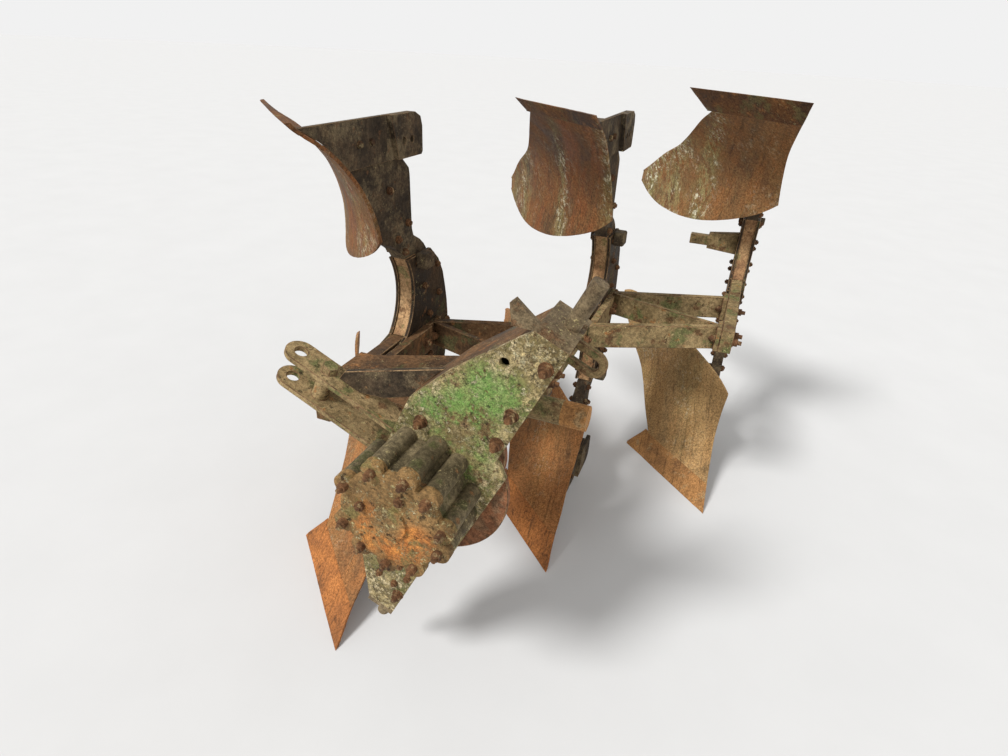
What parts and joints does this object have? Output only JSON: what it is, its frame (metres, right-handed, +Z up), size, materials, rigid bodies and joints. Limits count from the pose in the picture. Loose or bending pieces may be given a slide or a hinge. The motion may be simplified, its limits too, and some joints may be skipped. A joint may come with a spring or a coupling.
{
  "type": "three-furrow reversible moldboard plough",
  "caption": "Mounted reversible plough: staggered moldboard bottoms above and below a frame of flat bars, with a headstock that rolls about the long axis under a rotary actuator.",
  "frame": {"origin": "middle of the footprint on the ground, below the plough", "axes": "+Z up, +Y rearward along the way of travel, +X to the plough's left"},
  "size_m": [1.3298, 2.016, 1.268],
  "materials": {
    "share_steel": "rusty",
    "moldboard_steel": "rusty with lichen",
    "dark_steel": "weathered",
    "standard_paint": "worn and rusty",
    "frame_paint": "weathered with lichen",
    "headstock_paint": "worn green paint",
    "red_paint": "faded red paint",
    "actuator_casting": "rusty casting",
    "bright_steel": "surface rust"
  },
  "bodies": {
    "plough frame": {"share_front_lower": "share_steel", "share_front_upper": "share_steel", "share_middle_lower": "share_steel", "share_middle_upper": "share_steel", "share_rear_lower": "share_steel", "share_rear_upper": "share_steel", "moldboard_front_lower": "moldboard_steel", "moldboard_front_upper": "moldboard_steel", "moldboard_middle_lower": "moldboard_steel", "moldboard_middle_upper": "moldboard_steel", "moldboard_rear_lower": "moldboard_steel", "moldboard_rear_upper": "moldboard_steel", "landside_front_lower": "dark_steel", "landside_front_upper": "dark_steel", "landside_middle_lower": "dark_steel", "landside_middle_upper": "dark_steel", "landside_rear_lower": "dark_steel", "landside_rear_upper": "dark_steel", "frog_front_lower": "dark_steel", "frog_front_upper": "dark_steel", "frog_middle_lower": "dark_steel", "frog_middle_upper": "dark_steel", "frog_rear_lower": "dark_steel", "frog_rear_upper": "dark_steel", "brace_front_lower": "dark_steel", "brace_front_upper": "dark_steel", "brace_middle_lower": "dark_steel", "brace_middle_upper": "dark_steel", "brace_rear_lower": "dark_steel", "brace_rear_upper": "dark_steel", "standard_front": "standard_paint", "standard_middle": "standard_paint", "standard_rear": "standard_paint", "filler_front": "standard_paint", "filler_middle": "standard_paint", "filler_rear": "standard_paint", "tongue_front": "frame_paint", "tongue_middle": "frame_paint", "tongue_rear": "frame_paint", "stub_bar": "frame_paint", "cross_bar_front": "frame_paint", "cross_bar_front_rear": "frame_paint", "cross_bar_back": "frame_paint", "cross_bar_back_rear": "frame_paint", "side_link_front": "frame_paint", "side_link_middle": "frame_paint", "hub": "frame_paint", "hub_arms": "frame_paint", "stop_bar": "frame_paint", "turnover_shaft": "bright_steel"},
    "headstock": {"headstock_front": "headstock_paint", "headstock_box": "headstock_paint", "half_round_plate": "red_paint", "hitch_pin_left": "bright_steel", "hitch_pin_right": "bright_steel", "mast": "frame_paint", "mast_gusset": "frame_paint", "latch_loop": "frame_paint", "actuator_barrel": "actuator_casting", "actuator_cover": "actuator_casting"}
  },
  "joints": [
    {"name": "turnover", "type": "hinge", "parent": "plough frame", "child": "headstock", "pos_m": [0.11486, -0.80998, 0.634], "axis": [0, 1, 0], "range_deg": [-115, 65]}
  ]
}
